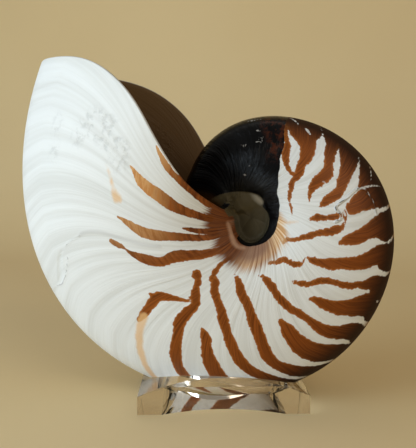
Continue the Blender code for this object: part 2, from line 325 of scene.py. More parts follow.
def wall_at(age, across_share):
    """Wall thickness: thin at the lip and at its two inner ends, growing back into the chamber."""
    depth = np.clip(-age / WALL_TAPER, 0, 1)
    body = LIP_WALL + (CHAMBER_WALL - LIP_WALL) * depth
    ends = np.clip(-age / END_THICKENS, 0, 1)
    return body * (1 - (1 - ends) * np.abs(across_share) ** 6)


def chamber_row(age):
    """One closed line round the chamber: roof, front lobe, floor and back lobe."""
    deep = min(1.0, -age / LOBE_OPENS)
    roof_end = place_at([age], lambda angle: blend(pit_edge(angle), CHAMBER_RADIUS, deep))[0]
    floor_age = age - 360.0
    floor_end = place_at([floor_age], lambda angle: blend(pit_edge(angle), DORSAL_RADIUS, deep))[0]
    if age == -LIP_ROUND:
        roof_end, floor_end, floor_age = edge_place[-1], edge_place[0], row_age[0]
    ages = np.full(len(column), age)
    roof_across = roof_end * column
    wall = wall_at(age, column)[:, None]
    roof = upright(*whorl(ages, roof_across)) - wall * whorl_normal(ages, roof_across)
    floor_ages = np.full(len(column), floor_age)
    floor_across = floor_end * column
    coat = DORSAL_COAT * min(1.0, -(age + LIP_ROUND) / COAT_THICKENS)
    floor = upright(*whorl(floor_ages, floor_across)) + coat * whorl_normal(floor_ages, floor_across)

    def cylindrical(point):
        """Radius, y and angle in degrees round the axis."""
        return np.hypot(point[0], point[2]), point[1], math.degrees(math.atan2(point[2], point[0]))

    sides = []
    for end in (-1, 0):
        radius_a, y_a, angle_a = cylindrical(roof[end])
        radius_b, y_b, angle_b = cylindrical(floor[end])
        angle_b = angle_a + (angle_b - angle_a + 180) % 360 - 180
        sides.append(upright(*lobe(radius_a, y_a, angle_a, radius_b, y_b, angle_b)))
    return np.vstack([roof, sides[0][1:-1], floor[::-1], sides[1][1:-1][::-1]])


inside_ages = -LIP_ROUND - (CHAMBER_LENGTH - LIP_ROUND) * np.linspace(0, 1, CHAMBER_ROWS) ** 1.25
inside_rows = np.array([chamber_row(age) for age in inside_ages])
ring_size = inside_rows.shape[1]
cap_bend = np.linspace(0, math.pi / 2, CAP_ROWS + 2)[1:-1]
cap_rows = []
for bend in cap_bend:
    ring = chamber_row(-CHAMBER_LENGTH - SEPTUM_DEPTH * math.sin(bend))
    cap_rows.append(ring.mean(0) + (ring - ring.mean(0)) * math.cos(bend))
cap_rows = np.array(cap_rows)

# The lip: a small half circle from the outer face to the roof of the chamber
lip_outer, lip_inner = outer_points[-1], inside_rows[0, :len(column)]
lip_forward = np.cross(whorl_normal(np.full(len(column), -LIP_ROUND), outer_across[-1]),
                       np.gradient(lip_outer, axis=0))
lip_forward /= -np.linalg.norm(lip_forward, axis=-1, keepdims=True)
lip_middle, lip_half = (lip_outer + lip_inner) / 2, (lip_outer - lip_inner) / 2
lip_reach = np.linalg.norm(lip_half, axis=-1, keepdims=True) * LIP_BULGE
lip_bend = [lip_middle + lip_half * math.cos(turn) + lip_forward * lip_reach * math.sin(turn)
            for turn in np.radians(LIP_TURNS)]
lip_rows = np.array([lip_outer] + lip_bend + [lip_inner])


# The pits on both sides, row by row round the axis, closed by the step rows
near_radius, near_y, _ = whorl(row_age, edge_place - 0.01)
slope = np.stack([edge_radius - near_radius, edge_y - near_y], -1)
slope /= np.linalg.norm(slope, axis=-1, keepdims=True)
slope = np.vstack([slope, blend(slope[-1], slope[0], np.linspace(0, 1, STEP_ROWS + 1)[1:-1, None])])
pit_radius, pit_y, pit_angle = (np.r_[edge, step[1:-1]] for edge, step in (
    (edge_radius, step_radius), (edge_y, step_y), (edge_angle, step_angle)))
fan_radius, fan_y = pit_profile(pit_radius, pit_y, *slope.T)
fans = [upright(fan_radius, side * fan_y, pit_angle[:, None] + 0 * fan_radius) for side in (1, -1)]
pit_points = [np.vstack([fan, fan[:1]]) for fan in fans]


def ring_closed(points):
    """A grid whose last column repeats its first."""
    return np.concatenate([points, points[:, :1]], 1)


def marked_grid(points, age, across, inside=0, callus=0, flip=False):
    """A grid's points, its quads, turned over where flip says so, and four marks for every point: the age
    in degrees, the place across, how far it lies inside the chamber and how far on the callus."""
    rows, columns = points.shape[:2]
    quads = grid_quads(rows, columns)
    marks = [np.broadcast_to(mark, (rows, columns)).ravel() for mark in (age, across, inside, callus)]
    return points.reshape(-1, 3), quads[:, ::-1] if flip else quads, np.stack(marks, -1)


step_ages = np.linspace(row_age[-1], row_age[0], STEP_ROWS + 1)[1:]
step_places = np.linspace(edge_place[-1], edge_place[0], STEP_ROWS + 1)[1:]
pit_columns = 1 + WALL_STEPS + DOME_STEPS
pit_ages = np.r_[row_age, step_ages][:, None]
pit_across = np.r_[edge_place, step_places][:, None] + np.linspace(0, 0.3, pit_columns)
pit_callus = np.clip((np.arange(pit_columns) - 3) / 3, 0.01, 1)
ring_across = np.zeros(ring_size + 1)
ring_across[:len(column)] = column
ring_floor = np.zeros(ring_size + 1)
ring_floor[len(column):-1] = 1
film_reach = np.clip((-inside_ages[:, None] - FILM_FADES) / FILM_FADED, 0, 1)
lip_inside = np.linspace(0, 1, len(lip_rows))[:, None]
septum_rows = np.concatenate([inside_rows[-1:], cap_rows])
grids = (
    marked_grid(outer_points, outer_age, outer_across),
    marked_grid(lip_rows, 0, outer_across[-1], lip_inside),
    marked_grid(ring_closed(inside_rows), inside_ages[:, None] - 360 * ring_floor, ring_across,
                1 - ring_floor * (1 - film_reach)),
    marked_grid(ring_closed(septum_rows), -CHAMBER_LENGTH, ring_across, 1),
    marked_grid(pit_points[0], pit_ages, pit_across, callus=pit_callus),
    marked_grid(pit_points[1], pit_ages, -pit_across, callus=pit_callus, flip=True),
)
firsts = np.cumsum([0] + [len(grid[0]) for grid in grids])
all_points, all_marks = (np.vstack([grid[i] for grid in grids]) for i in (0, 2))
all_quads = np.vstack([grid[1] + first for grid, first in zip(grids, firsts)])


def weld(points, quads):
    """Joins points that lie within a thousandth of a millimetre and drops faces left without area."""
    _, kept, number = np.unique(np.round(points, 3), axis=0, return_index=True, return_inverse=True)
    quads = number.reshape(-1)[quads]
    triangles = np.vstack([quads[:, (0, 1, 2)], quads[:, (0, 2, 3)]])
    flat = ((triangles[:, 0] == triangles[:, 1]) | (triangles[:, 1] == triangles[:, 2])
            | (triangles[:, 0] == triangles[:, 2]))
    return kept, triangles[~flat]


def oval_distance(points, centre, half, tilt):
    """Rough distance in mm outside an oval seen from the side, tilted in degrees."""
    turn = math.radians(tilt)
    x, z = points[:, 0] - centre[0], points[:, 2] - centre[1]
    along, over = x * math.cos(turn) + z * math.sin(turn), z * math.cos(turn) - x * math.sin(turn)
    return (np.hypot(along / half[0], over / half[1]) - 1) * min(half)


kept, triangles = weld(all_points, all_quads)
points = all_points[kept]
age, across, inside, callus = all_marks[kept].T

# The callus is a low disc in the pit and a thicker tongue that runs up from it and into the mouth
DISC_CENTRE, DISC_HALF, DISC_TILT = (-0.3, -2.2), (7.5, 7.3), 0.0
TONGUE_CENTRE, TONGUE_HALF, TONGUE_TILT = (-6.0, 4.9), (10.5, 4.3), 5.0
# The ridge oval only places a painted highlight on the callus; the ridge itself is not raised
RIDGE_CENTRE, RIDGE_HALF, RIDGE_TILT = (3.1, 6.1), (2.8, 0.9), -39.0
TONGUE_LIFT, TONGUE_SLOPE, PIT_REACH, PIT_DEPTHS, FAR = 0.9, 1.8, 20.0, (7.0, 16.0), 9.0
PIT_PLACE, LAST_ROWS = 0.9, -300
disc = oval_distance(points, DISC_CENTRE, DISC_HALF, DISC_TILT)
tongue = oval_distance(points, TONGUE_CENTRE, TONGUE_HALF, TONGUE_TILT)
near_axis = np.hypot(points[:, 0], points[:, 2]) < PIT_REACH
out = np.abs(points[:, 1])
in_pit = near_axis & (out > PIT_DEPTHS[0]) & (out < PIT_DEPTHS[1])
in_pit &= (age < LAST_ROWS) | (callus > 0) | (np.abs(across) > PIT_PLACE)
rise = np.clip(-tongue / TONGUE_SLOPE, 0, 1)
points[:, 1] += np.where(in_pit, np.sign(points[:, 1]) * TONGUE_LIFT * rise ** 2 * (3 - 2 * rise), 0)
pad = np.where(in_pit, np.minimum(disc, tongue), np.where(near_axis & (callus > 0), tongue, FAR))
ridge = np.where(in_pit, oval_distance(points, RIDGE_CENTRE, RIDGE_HALF, RIDGE_TILT), FAR)
shell = make_piece("nautilus_shell", (points + AXIS) * MM, triangles)


# The markings: rust brown bands that the animal laid down as it grew. Each row is a line over the
# shell as (age, place across, half width in mm), and the same lines show on both sides of the keel.
STRIPES = (
    ((-286, 0.1, 1.2), (-288.2, 0.2, 0.7), (-289.2, 0.25, 0.7), (-289.7, 0.3, 0.9), (-289.2, 0.35, 1.0),
     (-288.7, 0.38, 1.3), (-288.7, 0.42, 1.5), (-286, 0.46, 1.2), (-281.3, 0.493, 0.8),
     (-276.5, 0.508, 0.6), (-272, 0.512, 0.6)),
    ((-279.4, 0.0, 6.2), (-279.2, 0.1, 6.0), (-278.2, 0.16, 6.3), (-277, 0.2, 6.2), (-276.9, 0.232, 5.0),
     (-276.8, 0.264, 3.8), (-275, 0.318, 3.0), (-274.2, 0.352, 2.6), (-273.8, 0.395, 2.2),
     (-274, 0.432, 1.5), (-271.2, 0.478, 1.6), (-269.6, 0.51, 1.3), (-269.5, 0.54, 0.8), (-266, 0.57, 1.1),
     (-261, 0.6, 0.9), (-255, 0.63, 0.8), (-248, 0.655, 0.6), (-240, 0.667, 0.45), (-232, 0.68, 0.4),
     (-225, 0.69, 0.2)),
    ((-264.3, 0.0, 2.9), (-263.4, 0.1, 3.0), (-262.5, 0.16, 2.9), (-261.1, 0.216, 2.4), (-260.2, 0.29, 2.1),
     (-258.1, 0.345, 1.6), (-256.4, 0.375, 2.2), (-256.1, 0.41, 2.4), (-256.3, 0.445, 2.2),
     (-254.6, 0.485, 1.5), (-250.5, 0.52, 0.7), (-246, 0.54, 0.3), (-243, 0.55, 0.1)),
    ((-254.5, 0.0, 4.2), (-253.3, 0.1, 4.4), (-250.3, 0.196, 3.9), (-248.4, 0.262, 2.9),
     (-246.4, 0.33, 2.2), (-244, 0.37, 1.8), (-242.6, 0.4, 1.9), (-242, 0.43, 1.8), (-241, 0.465, 1.6),
     (-238, 0.505, 0.4)),
    ((-244, 0.0, 3.0), (-240.5, 0.132, 2.9), (-238.2, 0.186, 3.0), (-237.2, 0.214, 2.6),
     (-236.9, 0.255, 1.2), (-237.2, 0.29, 0.2)),
    ((-229.6, 0.0, 8.3), (-228.6, 0.1, 7.0), (-228.7, 0.17, 5.9), (-229.4, 0.24, 4.5), (-230.6, 0.3, 3.5),
     (-230.9, 0.36, 2.4)),
    ((-230, 0.4, 0.9), (-225, 0.407, 0.5), (-222, 0.425, 0.8), (-221, 0.45, 1.6), (-218.5, 0.5, 1.4),
     (-216, 0.545, 1.1), (-211, 0.585, 1.2), (-206, 0.625, 0.9), (-200, 0.655, 0.8), (-195, 0.685, 0.8),
     (-190, 0.715, 0.9), (-185, 0.725, 0.5), (-182.5, 0.725, 0.15)),
    ((-229.5, 0.44, 1.2), (-229.3, 0.49, 0.9), (-229, 0.535, 1.4), (-225.5, 0.588, 0.3)),
    ((-212.8, 0.0, 4.2), (-213.5, 0.1, 4.7), (-213.5, 0.18, 5.4), (-215, 0.235, 3.8), (-215.5, 0.3, 2.6),
     (-214.8, 0.36, 2.5), (-214.3, 0.4, 1.8), (-213, 0.43, 0.8)),
    ((-199.5, 0.0, 5.5), (-199.5, 0.1, 5.4), (-200.5, 0.17, 5.0), (-202.8, 0.235, 3.3), (-202, 0.3, 2.9),
     (-201.8, 0.36, 2.4), (-201.5, 0.41, 2.0), (-199.5, 0.45, 2.2), (-197.5, 0.5, 1.3), (-196, 0.53, 1.3),
     (-194.5, 0.565, 0.6)),
    ((-193.5, 0.578, 0.2), (-188, 0.578, 0.5), (-185, 0.59, 0.9), (-181, 0.615, 1.0), (-176.5, 0.655, 1.0),
     (-172, 0.678, 1.0), (-165.4, 0.694, 0.9), (-160, 0.708, 0.8), (-155, 0.719, 0.6), (-152.5, 0.72, 0.2)),
    ((-187, 0.0, 4.7), (-187, 0.1, 4.7), (-188, 0.165, 4.4), (-190.8, 0.215, 2.7), (-190.5, 0.26, 1.9),
     (-190.8, 0.3, 1.2), (-190.3, 0.35, 1.3), (-190.5, 0.41, 1.1), (-188, 0.46, 1.2), (-183, 0.49, 1.0),
     (-179, 0.52, 1.1), (-175, 0.55, 0.8), (-172.5, 0.57, 0.2)),
    ((-176, 0.0, 4.7), (-176.8, 0.1, 4.1), (-179, 0.16, 3.6), (-181.2, 0.205, 4.6), (-180.4, 0.255, 3.8),
     (-179.5, 0.3, 3.1), (-178.6, 0.35, 2.4), (-178.3, 0.4, 1.9), (-176.5, 0.45, 0.9),
     (-171.5, 0.458, 0.15)),
    ((-166, 0.0, 4.2), (-166.5, 0.08, 4.0), (-169, 0.18, 3.8), (-167.2, 0.27, 2.7), (-167, 0.34, 2.1),
     (-167.5, 0.41, 1.2), (-165.5, 0.46, 1.5), (-162.5, 0.51, 1.5), (-159.5, 0.56, 1.3), (-157, 0.6, 1.5),
     (-154, 0.63, 1.4), (-150, 0.66, 1.1), (-146, 0.68, 0.6), (-140.5, 0.695, 0.1)),
    ((-158, 0.0, 4.4), (-158.5, 0.08, 4.2), (-158.5, 0.16, 4.4), (-156, 0.25, 4.2), (-155.8, 0.33, 3.6),
     (-157, 0.41, 2.4), (-156.5, 0.455, 0.9)),
    ((-148.5, 0.0, 4.4), (-148.5, 0.08, 4.2), (-146, 0.18, 3.4), (-142.8, 0.28, 2.1), (-142.5, 0.35, 2.4),
     (-143.8, 0.42, 2.1), (-143, 0.48, 2.1), (-141, 0.53, 1.7), (-138, 0.575, 1.6), (-133, 0.615, 1.7),
     (-128.5, 0.655, 1.6), (-125, 0.68, 1.2), (-119, 0.71, 0.7), (-115, 0.715, 0.1)),
    ((-139, 0.0, 3.2), (-139.5, 0.08, 2.8), (-137, 0.2, 2.1), (-133.5, 0.28, 2.2), (-131.5, 0.35, 2.3),
     (-130.5, 0.42, 2.0), (-128.5, 0.47, 1.7), (-125.5, 0.52, 1.9), (-121, 0.57, 1.5), (-116, 0.605, 1.3),
     (-111, 0.635, 1.5), (-107, 0.67, 1.5), (-103, 0.69, 1.0), (-99, 0.69, 0.2)),
    ((-127, 0.0, 1.6), (-126, 0.08, 2.2), (-122.5, 0.17, 2.8), (-120.5, 0.25, 3.1), (-119.8, 0.33, 3.0),
     (-119.5, 0.39, 2.2), (-119, 0.44, 1.9), (-116, 0.477, 0.3)),
    ((-112.5, 0.14, 0.7), (-110.5, 0.2, 1.9), (-107, 0.28, 2.2), (-106.7, 0.36, 2.3), (-107, 0.43, 1.8),
     (-106, 0.485, 2.4), (-107.5, 0.55, 1.6), (-104, 0.59, 1.8), (-99, 0.63, 1.2), (-94.5, 0.665, 1.1),
     (-90, 0.68, 1.7), (-86.5, 0.69, 0.3)),
    ((-102, 0.68, 0.8), (-98.4, 0.722, 1.0), (-96.4, 0.752, 0.8), (-96.8, 0.778, 0.7), (-99, 0.81, 0.7)),
    ((-104, 0.565, 0.6), (-98, 0.552, 0.9), (-94, 0.54, 1.4), (-91, 0.525, 1.8), (-88, 0.51, 1.0),
     (-86, 0.505, 0.2)),
    ((-90.5, 0.41, 1.0), (-91, 0.45, 1.7), (-90.5, 0.5, 1.9)),
    ((-57, 0.507, 0.4), (-58.2, 0.514, 1.0), (-60, 0.53, 1.1), (-61.5, 0.542, 0.5), (-63.5, 0.552, 0.5),
     (-65, 0.562, 1.0), (-67.3, 0.58, 1.6), (-70, 0.608, 1.9), (-71.6, 0.638, 1.6), (-69.6, 0.67, 2.1),
     (-69.2, 0.7, 2.1), (-70.8, 0.735, 1.8), (-73.8, 0.77, 1.6), (-77, 0.8, 1.4), (-82.5, 0.84, 1.2),
     (-88, 0.885, 1.0)),
    ((-46, 0.556, 0.3), (-48.5, 0.59, 1.2), (-51.2, 0.625, 1.8), (-52.2, 0.66, 2.0), (-51.6, 0.7, 1.6),
     (-51.3, 0.75, 1.4), (-52.3, 0.79, 1.2), (-54.5, 0.83, 1.1), (-57, 0.88, 1.0)),
    ((-42, 0.77, 0.3), (-43.2, 0.8, 0.8), (-45.5, 0.84, 1.0), (-48, 0.89, 1.0)),
    ((-20, 0.59, 0.2), (-20.8, 0.61, 0.7), (-23, 0.64, 1.8), (-23.2, 0.68, 2.1), (-23.4, 0.72, 2.2),
     (-24.4, 0.75, 1.9), (-24.2, 0.79, 1.5), (-24.6, 0.84, 1.3), (-26, 0.89, 1.2)),
    ((-1.2, 0.65, 0.3), (-2.3, 0.68, 0.9), (-2.9, 0.71, 1.2), (-2.8, 0.74, 1.0), (-1.9, 0.77, 1.1),
     (-1.3, 0.805, 1.2), (-2, 0.845, 1.2), (-4, 0.89, 1.2)),
)
# Tan bands by the lip, and white flecks and hairlines in the rust brown ones
PALE_STRIPES = (
    ((-98.5, 0.06, 2.2), (-96.5, 0.14, 1.6), (-94, 0.24, 1.2), (-92.5, 0.35, 1.4), (-91.5, 0.43, 1.5)),
    ((-207.8, 0.776, 0.2), (-212, 0.722, 0.25), (-219, 0.66, 0.0)),
    ((-38, 0.562, 1.5), (-36, 0.553, 1.0), (-33.5, 0.548, 0.4), (-30, 0.535, 0.2), (-26, 0.52, 0.1)),
)
SPOTS = (
    ((-285.6, 0.08, 0.1), (-284.4, 0.095, 0.35), (-282.8, 0.135, 0.35), (-280.7, 0.186, 0.1)),
    ((-277.2, 0.195, 0.2), (-276, 0.21, 0.5), (-274.3, 0.232, 0.3)),
    ((-240, 0.01, 0.1), (-237, 0.12, 0.3), (-234.3, 0.186, 0.1)),
    ((-254.6, 0.425, 0.25), (-251.5, 0.425, 0.45)),
    ((-228, 0.08, 0.1), (-230.5, 0.14, 0.25), (-234, 0.23, 0.35), (-237.3, 0.3, 0.35)),
    ((-234, 0.25, 0.2), (-229.8, 0.24, 0.15), (-225.8, 0.23, 0.1), (-218, 0.215, 0.0)),
    ((-237.6, 0.33, 0.3), (-236.5, 0.41, 0.4), (-232.5, 0.41, 0.5), (-228.5, 0.4, 0.4)),
)
# A painted pink highlight along the edge of the pit, on the side of the lip
RIM_HIGHLIGHT = (
    ((-110, 0.866, 0.0), (-98, 0.875, 0.2), (-85, 0.9, 0.4), (-70, 0.94, 0.5), (-55, 0.97, 0.4),
     (-35, 0.985, 0.1)),
)
# On the front only: the healed break across the bands, the crack, seam and raised flake low on the
# white flank, and a dark nick
SCARS = (
    ((-233, 0.24, 0), (-237, 0.29, 0), (-237.5, 0.35, 0), (-236, 0.425, 0), (-232, 0.43, 0),
     (-228, 0.42, 0), (-226, 0.45, 0)),
    ((-219, 0.24, 0), (-226, 0.235, 0), (-233, 0.26, 0)),
)
CHIPS = (
    ((-53.2, 0.42, 0), (-53.7, 0.388, 0), (-54, 0.356, 0.1), (-56.5, 0.352, 0.15), (-58.8, 0.33, 0.15),
     (-60.4, 0.286, 0.15), (-59.7, 0.25, 0.1), (-58.6, 0.222, 0), (-55.2, 0.058, 0)),
)
SEAMS = (
    ((-53.2, 0.42, 0), (-52.8, 0.44, 0), (-53.6, 0.48, 0), (-55.2, 0.518, 0), (-57.8, 0.568, 0),
     (-59.8, 0.62, 0), (-60.4, 0.662, 0)),
)
LENSES = (
    ((-53.9, 0.345, 0.2), (-55.3, 0.318, 1.3), (-57.3, 0.295, 1.8), (-59, 0.27, 1.5), (-59.8, 0.252, 0.4)),
)
TICKS = (
    ((-140.6, 0.362, 0.2), (-138.4, 0.36, 0.1)),
)
# Painted glints of light on the black film, and dull worn patches near the lip
GLINTS = (
    ((-322.5, 0.368, 0.5), (-322, 0.375, 0.3)),
    ((-320.6, 0.5, 0.4), (-320.2, 0.515, 0.3)),
    ((-310, 0.36, 0.6), (-308.5, 0.37, 0.4)),
    ((-308, 0.335, 0.5), (-307, 0.35, 0.3)),
    ((-307.5, 0.275, 0.3), (-306.5, 0.285, 0.2)),
    ((-310.4, 0.145, 0.3), (-306.5, 0.145, 0.4), (-302.5, 0.14, 0.2)),
    ((-326, 0.575, 0.3), (-325.6, 0.59, 0.2)),
)
SCUFFS = (
    ((-27, 0.35, 1.5), (-17, 0.345, 2.0)),
    ((-22, 0.42, 2.0), (-15, 0.46, 5.0), (-18, 0.53, 5.0), (-24, 0.56, 2.0)),
)
LINE_STEPS = 6


def line_points(rows):
    """A marking's line as points in mm and half widths, run smoothly through its rows."""
    rows = np.array(rows, float)
    knots = np.arange(len(rows))
    at = np.linspace(0, len(rows) - 1, LINE_STEPS * (len(rows) - 1) + 1)
    ages, places = (natural_curve(knots, rows[:, i], at) for i in (0, 1))
    return upright(*whorl(ages, np.clip(places, 0, 1))), np.interp(at, knots, rows[:, 2])


def distance_to(lines, points, reach=FAR):
    """Least distance in mm from each point to the edge of any line, at most reach: for each straight step
    of a line, the nearest place on it, less the half width there."""
    least = np.full(len(points), reach)
    for rows in lines:
        line, half = line_points(rows)
        near = ((points > line.min(0) - reach) & (points < line.max(0) + reach)).all(1)
        close = points[near]
        best = least[near]
        for start, end, half_a, half_b in zip(line[:-1], line[1:], half[:-1], half[1:]):
            step = end - start
            share = np.clip((close - start) @ step / (step @ step), 0, 1)
            gap = np.linalg.norm(close - start - share[:, None] * step, axis=1)
            best = np.minimum(best, gap - (half_a + (half_b - half_a) * share))
        least[near] = best
    return least


def folded(ages, places, shift):
    """Points of the outer surface with both sides laid over each other, the far one a little older."""
    later = np.where(places > 0, shift * np.clip(places / SHIFT_STARTS, 0, 1), 0)
    return upright(*whorl(ages + later, np.clip(np.abs(places), 0, 1)))


# The edge of the black film, its front across the whorl and the edge of the tinted zone round the pit, each
# as a place across for an age or the other way round
FILM_PLACES = (0.445, 0.51, 0.555, 0.595, 0.625, 0.665, 0.695, 0.71, 0.727, 0.742, 0.765, 0.79, 0.805, 0.82,
               0.845, 0.87, 0.9, 0.95, 1.3)
FILM_AGES = (-293, -288, -285, -280, -274.5, -268, -261, -254, -247, -240, -231, -215, -203, -175,
             -147, -120, -100, -85, -70)
FRONT_PLACES = (0.0, 0.09, 0.216, 0.288, 0.372, 0.45, 1.0)
FRONT_AGES = (-285.0, -286.0, -289.2, -290.8, -291.2, -292.2, -293.0)
ZONE_AGES = (-293, -262, -245, -231, -215, -190, -165, -150, -135, -125, -110, -100, -90, -80, -70, -62, -50,
             -35, -22, -15, -8, 0)
ZONE_PLACES = (0.52, 0.76, 0.79, 0.80, 0.755, 0.72, 0.725, 0.725, 0.72, 0.725, 0.755, 0.765, 0.79, 0.81,
               0.83, 0.86, 0.84, 0.855, 0.86, 0.87, 0.885, 0.875)
SECTION_SLOPE, FILM_TOP, SIDE_SHIFT, SHIFT_STARTS = 1.09, -293, -1.6, 0.3


def film_distance(ages, places):
    """Distance in mm outside the black film: from its front across the whorl, and from its edge along it."""
    radius = keel_radius(ages)
    share = np.abs(places)
    front = ages - np.interp(share, FRONT_PLACES, FRONT_AGES)
    front = front * radius * natural_curve(*RADIUS_CURVE, np.clip(share, 0, 1)) * math.pi / 180
    edge = (np.interp(ages, FILM_AGES, FILM_PLACES) - share) * radius * SECTION_SLOPE
    return np.minimum(front, np.where(ages < FILM_TOP, FAR, edge))


def zone_depth(ages, places):
    """How far in mm a place lies inside the tinted zone round the pit."""
    return (np.abs(places) - np.interp(ages, ZONE_AGES, ZONE_PLACES)) * keel_radius(ages) * SECTION_SLOPE


marks = {
    "age": age, "across": across, "inside": inside, "pad": pad, "tongue": tongue, "ridge": ridge,
    "zone": zone_depth(age, across), "film": film_distance(age, across),
}
line_marks = (
    (folded(age, across, SIDE_SHIFT), {"stripe": STRIPES, "pale": PALE_STRIPES, "spot": SPOTS}),
    (folded(age, across, 0), {"rim": RIM_HIGHLIGHT, "glint": GLINTS, "scuff": SCUFFS}),
    (folded(age, np.where(across < 0, across, 1), 0),
     {"scar": SCARS, "chip": CHIPS, "seam": SEAMS, "lens": LENSES, "tick": TICKS}),
)
for laid_over, tables in line_marks:
    for mark, lines in tables.items():
        marks[mark] = distance_to(lines, laid_over)
for mark, values in marks.items():
    stored = shell.data.attributes.new(mark, "FLOAT", "POINT")
    stored.data.foreach_set("value", values.astype(np.float32))
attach(shell, "root")
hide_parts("shell")


class Wire:
    """A node's output that adds, subtracts and multiplies as a number does, each time by a Math node."""

    def __init__(self, tree, socket):
        self.tree, self.socket = tree, socket

    def calc(self, operation, *values):
        """Result of a Math node on this output and on numbers or other outputs."""
        made = add_node(self.tree, "Math", dict(enumerate((self, *values))), operation=operation)
        return Wire(self.tree, made.outputs[0])

    def __add__(self, other):
        return self.calc("ADD", other)

    def __sub__(self, other):
        return self.calc("SUBTRACT", other)

    def __mul__(self, other):
        return self.calc("MULTIPLY", other)

    def step(self, low, high, most=1.0):
        """0 below low and most above high, smooth between; the other way round where low is above high."""
        start, end = (0.0, most) if low < high else (most, 0.0)
        limits = {"From Min": min(low, high), "From Max": max(low, high), "To Min": start, "To Max": end}
        made = add_node(self.tree, "MapRange", {"Value": self, **limits}, interpolation_type="SMOOTHSTEP")
        return Wire(self.tree, made.outputs["Result"])


def mark_of(tree, name):
    """One of the marks stored on the piece's mesh."""
    return Wire(tree, add_node(tree, "Attribute", attribute_name=name).outputs["Fac"])


def mixed(share, under, over):
    """Over laid on under by a share from 0 to 1; each of the two is a wire or a #rrggbb code."""
    under, over = (colour(layer) if isinstance(layer, str) else layer for layer in (under, over))
    made = add_node(share.tree, "MixRGB", {"Fac": share, "Color1": under, "Color2": over})
    return Wire(share.tree, made.outputs["Color"])


def grain(tree, vector, scale, detail=2.0, roughness=0.5):
    """Noise from about -0.5 to 0.5."""
    settings = {"Vector": vector, "Scale": scale, "Detail": detail, "Roughness": roughness}
    return Wire(tree, add_node(tree, "TexNoise", settings).outputs["Fac"]) - 0.5


class ShellPatterns:
    """What the layers of the shell's finish share: the place on the shell, noises that run with its growth,
    and how far a point belongs to the old keel, the scuffs and the black film."""

    def __init__(self, tree):
        self.tree = tree
        body = add_node(tree, "TexCoord").outputs["Object"]
        self.ages, self.places = self.mark("age"), self.mark("across")
        self.place = self.places.calc("ABSOLUTE")
        swept = (self.place - 0.3).calc("MAXIMUM", 0.0) * 25.0 + self.ages
        self.fine_lines = self.grown(swept, 1.6, 3.0, 4.0, 0.6)
        self.broad_lines = self.grown(swept, 0.35, 1.5, 2.0)
        self.rays = self.grown(swept, 0.32, 2.2, 4.0, 0.65)
        self.teeth = self.grown(self.ages, 0.10, 42.0, 5.0, 0.75)
        self.bars = self.grown(self.ages, 0.06, 60.0, 4.0, 0.6)
        self.wisps = self.rays.step(-0.13, 0.13)
        self.crumbs = grain(tree, body, 900.0, 3.0, 0.6)
        self.blotch = grain(tree, body, 420.0, 4.0, 0.65)
        self.cloud = grain(tree, body, 60.0, 3.0)
        self.old = self.ages.step(-110.0, -140.0)
        self.belly = self.place.step(0.36, 0.14) * self.old
        self.scuff = self.mark("scuff").step(2.5, -1.5) * self.blotch.step(-0.04, 0.16)
        self.film = self.rough("film", 0.6).step(0.15, -0.1)

    def mark(self, name):
        """One of the marks stored on the shell."""
        return mark_of(self.tree, name)

    def rough(self, name, crumbling):
        """A mark's distance in mm with a crumbling edge."""
        return self.mark(name) + self.crumbs * crumbling

    def grown(self, ages, per_degree, per_place, detail, roughness=0.5):
        """Noise that runs with the growth: so many cells a degree, and from keel to pit."""
        parts = {"X": ages * per_degree, "Y": self.places * per_place}
        along = add_node(self.tree, "CombineXYZ", parts).outputs["Vector"]
        return grain(self.tree, along, 1.0, detail, roughness)


def white_layer(seen):
    """Porcelain white with greyish growth lines, dull scuffs by the lip and a tan tint on the old keel."""
    white = mixed(seen.broad_lines.step(-0.15, 0.2), "#dfe3e5", "#d3d6d6")
    lined = seen.fine_lines.step(0.02, 0.25) * (seen.ages.step(-60.0, -110.0, 0.18) + 0.14)
    white = mixed(lined, white, "#aaa9a4")
    white = mixed(seen.scuff * 0.35, white, "#a3a8aa")
    return mixed(seen.place.step(0.16, 0.05) * seen.old, white, "#856438")


def band_layer(seen, white):
    """Rust brown bands with ragged edges, sandy by the lip and dark along the old keel, then the pale bands
    and the white flecks."""
    ragged = seen.teeth * (seen.ages.step(-55.0, -100.0, 1.4) + 0.8)
    edge = seen.rough("stripe", 0.7) + ragged
    rust = mixed(seen.fine_lines.step(-0.15, 0.15), "#65330d", "#8d4b19")
    rust = mixed(edge.step(-0.9, -0.1), rust, "#9a5b24")
    barred = seen.bars.step(-0.12, 0.12)
    outer = (seen.bars * 0.25 + seen.place).step(0.78, 0.64)
    sandy = mixed(barred, "#b98049", "#cfa470")
    sandy = mixed(outer * seen.ages.step(-75.0, -30.0), mixed(barred, "#5f2f0f", "#8c4f22"), sandy)
    rust = mixed(seen.ages.step(-85.0, -60.0), rust, sandy)
    rust = mixed(seen.belly, rust, "#2a1303")
    skin = mixed(edge.step(0.10, -0.10), white, rust)
    pale_edge = seen.mark("pale") + seen.teeth * 2.2
    skin = mixed(pale_edge.step(0.8, -0.6, 0.75), skin, "#dcb27c")
    return mixed(seen.rough("spot", 0.4).step(0.15, -0.1, 0.8), skin, white)


def zone_layer(seen, skin):
    """Rays of cream, mauve and umber round the pit, and a painted pink highlight on the rim beside it."""
    depth = seen.mark("zone")
    cream = mixed(seen.wisps, "#e8cda6", "#bd8f5c")
    mauve = mixed(seen.wisps, "#c9a785", "#8a6244")
    umber = mixed(seen.wisps, "#4f260a", "#7f471b")
    mauve = mixed(depth.step(2.0, 6.0, 0.8), mauve, "#7b5a4a")
    tint = mixed(seen.ages.step(-190.0, -145.0), cream, mauve)
    tint = mixed(seen.ages.step(-125.0, -98.0), tint, umber)
    skin = mixed((seen.rays * 10.0 + depth).step(-2.0, 2.4, 0.99), skin, tint)
    # The pink rim line is a painted highlight on the pit's edge
    return mixed(seen.rough("rim", 0.4).step(1.4, -0.5, 0.6), skin, "#c9a58a")


